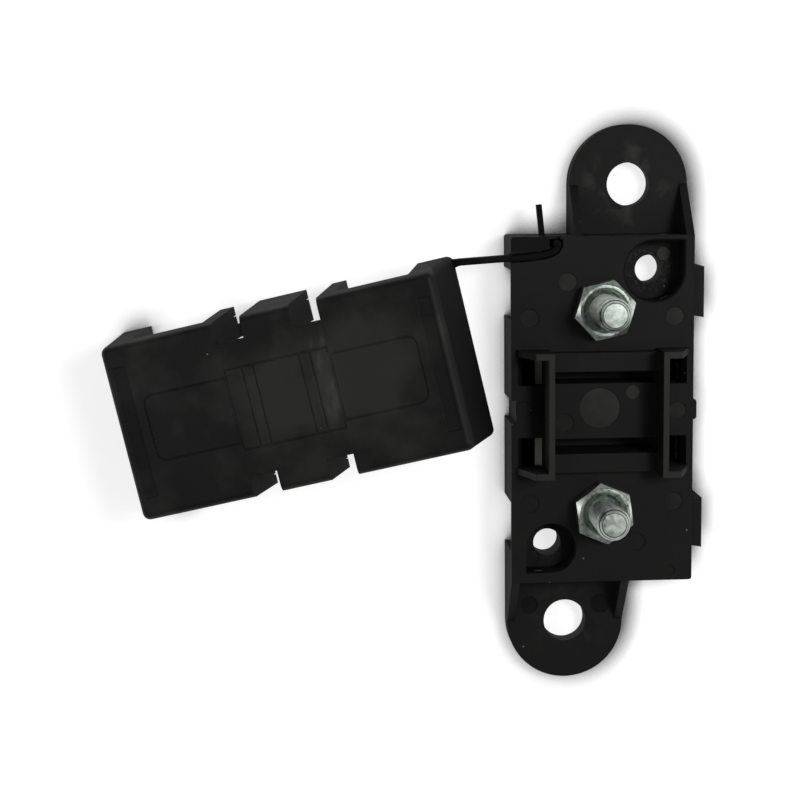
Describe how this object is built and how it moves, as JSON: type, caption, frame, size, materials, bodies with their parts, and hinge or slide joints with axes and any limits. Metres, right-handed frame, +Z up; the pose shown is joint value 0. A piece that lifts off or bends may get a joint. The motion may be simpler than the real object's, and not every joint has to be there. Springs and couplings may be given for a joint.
{
  "type": "base mount fuse holder",
  "caption": "Bolt-down fuse holder: moulded base with mounting ears, threaded studs with hexagon nuts, and a clip-on cover that hangs on a flexible strap.",
  "frame": {"origin": "on the underside of the base, midway between the two mounting holes", "axes": "+Z up out of the base, +Y along the row of studs towards the upper ear, +X towards the side with the dovetail tabs"},
  "size_m": [0.0876, 0.0836, 0.0255],
  "materials": {
    "base_plastic": "fine matt glass-filled nylon",
    "cover_plastic": "satin moulded nylon",
    "plated_steel": "zinc plated"
  },
  "bodies": {
    "base": {"base_housing": "base_plastic", "upper_stud": "plated_steel", "lower_stud": "plated_steel", "tether_anchor": "cover_plastic"},
    "upper_nut": {"upper_nut": "plated_steel"},
    "lower_nut": {"lower_nut": "plated_steel"},
    "tether": {"tether_span": "cover_plastic"},
    "cover": {"cover": "cover_plastic"}
  },
  "joints": [
    {"name": "upper_nut_turn", "type": "hinge", "parent": "base", "child": "upper_nut", "pos_m": [0, 0.015, 0.01037], "axis": [0, 0, 1], "continuous": true},
    {"name": "lower_nut_turn", "type": "hinge", "parent": "base", "child": "lower_nut", "pos_m": [0, -0.015, 0.01037], "axis": [0, 0, 1], "continuous": true},
    {"name": "tether_swing", "type": "hinge", "parent": "base", "child": "tether", "pos_m": [-0.0142, 0.02256, 0.008], "axis": [0, 0, 1], "range_deg": [-80, 0]},
    {"name": "cover_swing", "type": "hinge", "parent": "tether", "child": "cover", "pos_m": [-0.02116, 0.02228, 0.01038], "axis": [0, 0, 1], "range_deg": [-40, 2]}
  ]
}
